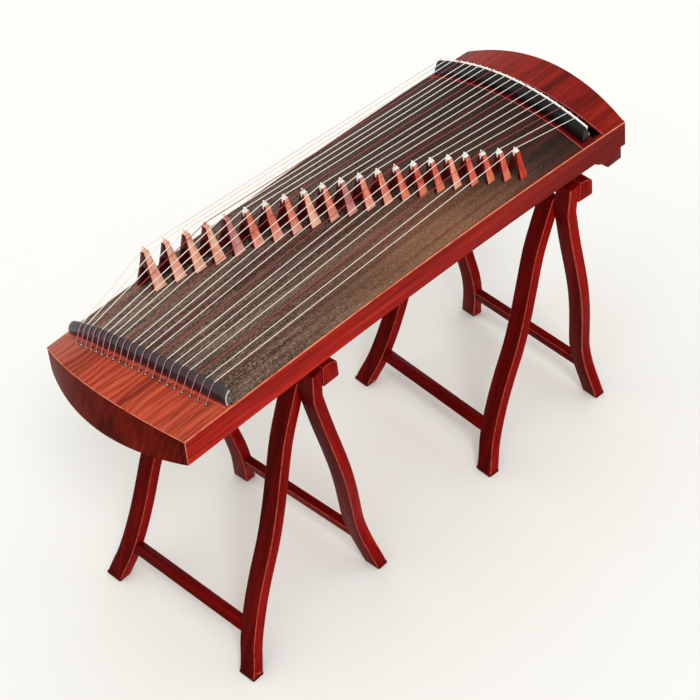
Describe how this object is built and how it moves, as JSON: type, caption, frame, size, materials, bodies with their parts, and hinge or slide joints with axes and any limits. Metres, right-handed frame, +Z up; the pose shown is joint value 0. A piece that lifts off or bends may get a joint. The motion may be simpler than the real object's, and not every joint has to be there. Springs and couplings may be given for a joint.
{
  "type": "guzheng",
  "caption": "Guzheng: long arched plucked zither with movable bridges, curved rear nut and lidded pin box, resting on two folding trestle stands.",
  "frame": {"origin": "on the floor under the middle of the object's box", "axes": "+X along the strings toward the head, -Y toward the player, +Z up"},
  "size_m": [1.329, 0.5046, 0.8526],
  "materials": {
    "paulownia": "burnt paulownia, satin",
    "rosewood": "lacquered rosewood veneer, gloss",
    "lacquer": "red lacquered wood, gloss",
    "back": "plain wood, matt",
    "ebony": "black lacquered hardwood, gloss",
    "bone": "white bone-like saddle, satin",
    "bridge": "rosewood with pale tips, satin",
    "string": "nylon-wrapped steel string",
    "steel": "plain steel",
    "stand": "dark red lacquered wood, gloss"
  },
  "bodies": {
    "stand_frames": {"tail_stand_inner_leg_near": "stand", "tail_stand_inner_leg_far": "stand", "tail_stand_inner_stretcher": "stand", "tail_stand_pivot_pin_near": "steel", "tail_stand_pivot_pin_far": "steel", "head_stand_inner_leg_near": "stand", "head_stand_inner_leg_far": "stand", "head_stand_inner_stretcher": "stand", "head_stand_pivot_pin_near": "steel", "head_stand_pivot_pin_far": "steel"},
    "sound_box": {"soundboard": "paulownia", "tail_plate": "rosewood", "tail_board": "lacquer", "head_board": "lacquer", "near_side": "lacquer", "far_side": "lacquer", "back_board": "back", "brace_tail": "back", "brace_middle": "back", "brace_head": "back", "box_bulkhead": "back", "nut_deck": "rosewood", "front_nut": "ebony", "bone_saddle": "bone", "rear_nut": "ebony", "pin_block": "back", "near_foot": "lacquer", "far_foot": "lacquer", "strings": "string"},
    "pin_box_lid": {"box_lid": "rosewood"},
    "tail_stand_outer_frame": {"tail_stand_outer_leg_near": "stand", "tail_stand_outer_leg_far": "stand", "tail_stand_outer_stretcher": "stand", "tail_stand_top_rail": "stand"},
    "head_stand_outer_frame": {"head_stand_outer_leg_near": "stand", "head_stand_outer_leg_far": "stand", "head_stand_outer_stretcher": "stand", "head_stand_top_rail": "stand"},
    "bridge_01": {"bridge_01": "bridge"},
    "bridge_02": {"bridge_02": "bridge"},
    "bridge_03": {"bridge_03": "bridge"},
    "bridge_04": {"bridge_04": "bridge"},
    "bridge_05": {"bridge_05": "bridge"},
    "bridge_06": {"bridge_06": "bridge"},
    "bridge_07": {"bridge_07": "bridge"},
    "bridge_08": {"bridge_08": "bridge"},
    "bridge_09": {"bridge_09": "bridge"},
    "bridge_10": {"bridge_10": "bridge"},
    "bridge_11": {"bridge_11": "bridge"},
    "bridge_12": {"bridge_12": "bridge"},
    "bridge_13": {"bridge_13": "bridge"},
    "bridge_14": {"bridge_14": "bridge"},
    "bridge_15": {"bridge_15": "bridge"},
    "bridge_16": {"bridge_16": "bridge"},
    "bridge_17": {"bridge_17": "bridge"},
    "bridge_18": {"bridge_18": "bridge"},
    "bridge_19": {"bridge_19": "bridge"},
    "bridge_20": {"bridge_20": "bridge"},
    "bridge_21": {"bridge_21": "bridge"}
  },
  "joints": [
    {"name": "instrument_lift", "type": "slide", "parent": "stand_frames", "child": "sound_box", "axis": [0, 0, 1], "range_m": [0, 0.15]},
    {"name": "lid_lift", "type": "slide", "parent": "sound_box", "child": "pin_box_lid", "axis": [0, 0, 1], "range_m": [0, 0.05]},
    {"name": "tail_stand_fold", "type": "hinge", "parent": "stand_frames", "child": "tail_stand_outer_frame", "pos_m": [-0.2932, 0.0119, 0.598], "axis": [-0.018, 0.9998, 0], "range_deg": [0, 17]},
    {"name": "head_stand_fold", "type": "hinge", "parent": "stand_frames", "child": "head_stand_outer_frame", "pos_m": [0.4769, -0.0116, 0.598], "axis": [0.083, 0.9966, 0], "range_deg": [0, 17]},
    {"name": "bridge_01_slide", "type": "slide", "parent": "sound_box", "child": "bridge_01", "axis": [0.9989, 0.0474, 0], "range_m": [-0.0048, 0.0048], "deforming": ["strings"]},
    {"name": "bridge_02_slide", "type": "slide", "parent": "sound_box", "child": "bridge_02", "axis": [0.999, 0.0448, 0], "range_m": [-0.0048, 0.0047]},
    {"name": "bridge_03_slide", "type": "slide", "parent": "sound_box", "child": "bridge_03", "axis": [0.9991, 0.0421, 0], "range_m": [-0.0047, 0.0046]},
    {"name": "bridge_04_slide", "type": "slide", "parent": "sound_box", "child": "bridge_04", "axis": [0.9992, 0.0394, 0], "range_m": [-0.0046, 0.0046]},
    {"name": "bridge_05_slide", "type": "slide", "parent": "sound_box", "child": "bridge_05", "axis": [0.9993, 0.0368, 0], "range_m": [-0.0046, 0.0045]},
    {"name": "bridge_06_slide", "type": "slide", "parent": "sound_box", "child": "bridge_06", "axis": [0.9994, 0.0341, 0], "range_m": [-0.0045, 0.0044]},
    {"name": "bridge_07_slide", "type": "slide", "parent": "sound_box", "child": "bridge_07", "axis": [0.9995, 0.0314, 0], "range_m": [-0.0044, 0.0044]},
    {"name": "bridge_08_slide", "type": "slide", "parent": "sound_box", "child": "bridge_08", "axis": [0.9996, 0.0288, 0], "range_m": [-0.0044, 0.0043]},
    {"name": "bridge_09_slide", "type": "slide", "parent": "sound_box", "child": "bridge_09", "axis": [0.9997, 0.0261, 0], "range_m": [-0.0043, 0.0042]},
    {"name": "bridge_10_slide", "type": "slide", "parent": "sound_box", "child": "bridge_10", "axis": [0.9997, 0.0234, 0], "range_m": [-0.0042, 0.0041]},
    {"name": "bridge_11_slide", "type": "slide", "parent": "sound_box", "child": "bridge_11", "axis": [0.9998, 0.0208, 0], "range_m": [-0.0041, 0.0041]},
    {"name": "bridge_12_slide", "type": "slide", "parent": "sound_box", "child": "bridge_12", "axis": [0.9998, 0.0181, 0], "range_m": [-0.0041, 0.004]},
    {"name": "bridge_13_slide", "type": "slide", "parent": "sound_box", "child": "bridge_13", "axis": [0.9999, 0.0154, 0], "range_m": [-0.004, 0.0039]},
    {"name": "bridge_14_slide", "type": "slide", "parent": "sound_box", "child": "bridge_14", "axis": [0.9999, 0.0127, 0], "range_m": [-0.0039, 0.0038]},
    {"name": "bridge_15_slide", "type": "slide", "parent": "sound_box", "child": "bridge_15", "axis": [1, 0.01, 0], "range_m": [-0.0038, 0.0038]},
    {"name": "bridge_16_slide", "type": "slide", "parent": "sound_box", "child": "bridge_16", "axis": [1, 0.0072, 0], "range_m": [-0.0038, 0.0037]},
    {"name": "bridge_17_slide", "type": "slide", "parent": "sound_box", "child": "bridge_17", "axis": [1, 0.0045, 0], "range_m": [-0.0037, 0.0036]},
    {"name": "bridge_18_slide", "type": "slide", "parent": "sound_box", "child": "bridge_18", "axis": [1, 0.0017, 0], "range_m": [-0.0036, 0.0036]},
    {"name": "bridge_19_slide", "type": "slide", "parent": "sound_box", "child": "bridge_19", "axis": [1, -0.0011, 0], "range_m": [-0.0036, 0.0035]},
    {"name": "bridge_20_slide", "type": "slide", "parent": "sound_box", "child": "bridge_20", "axis": [1, -0.0039, 0], "range_m": [-0.0035, 0.0034]},
    {"name": "bridge_21_slide", "type": "slide", "parent": "sound_box", "child": "bridge_21", "axis": [1, -0.0068, 0], "range_m": [-0.0034, 0.0034]}
  ]
}
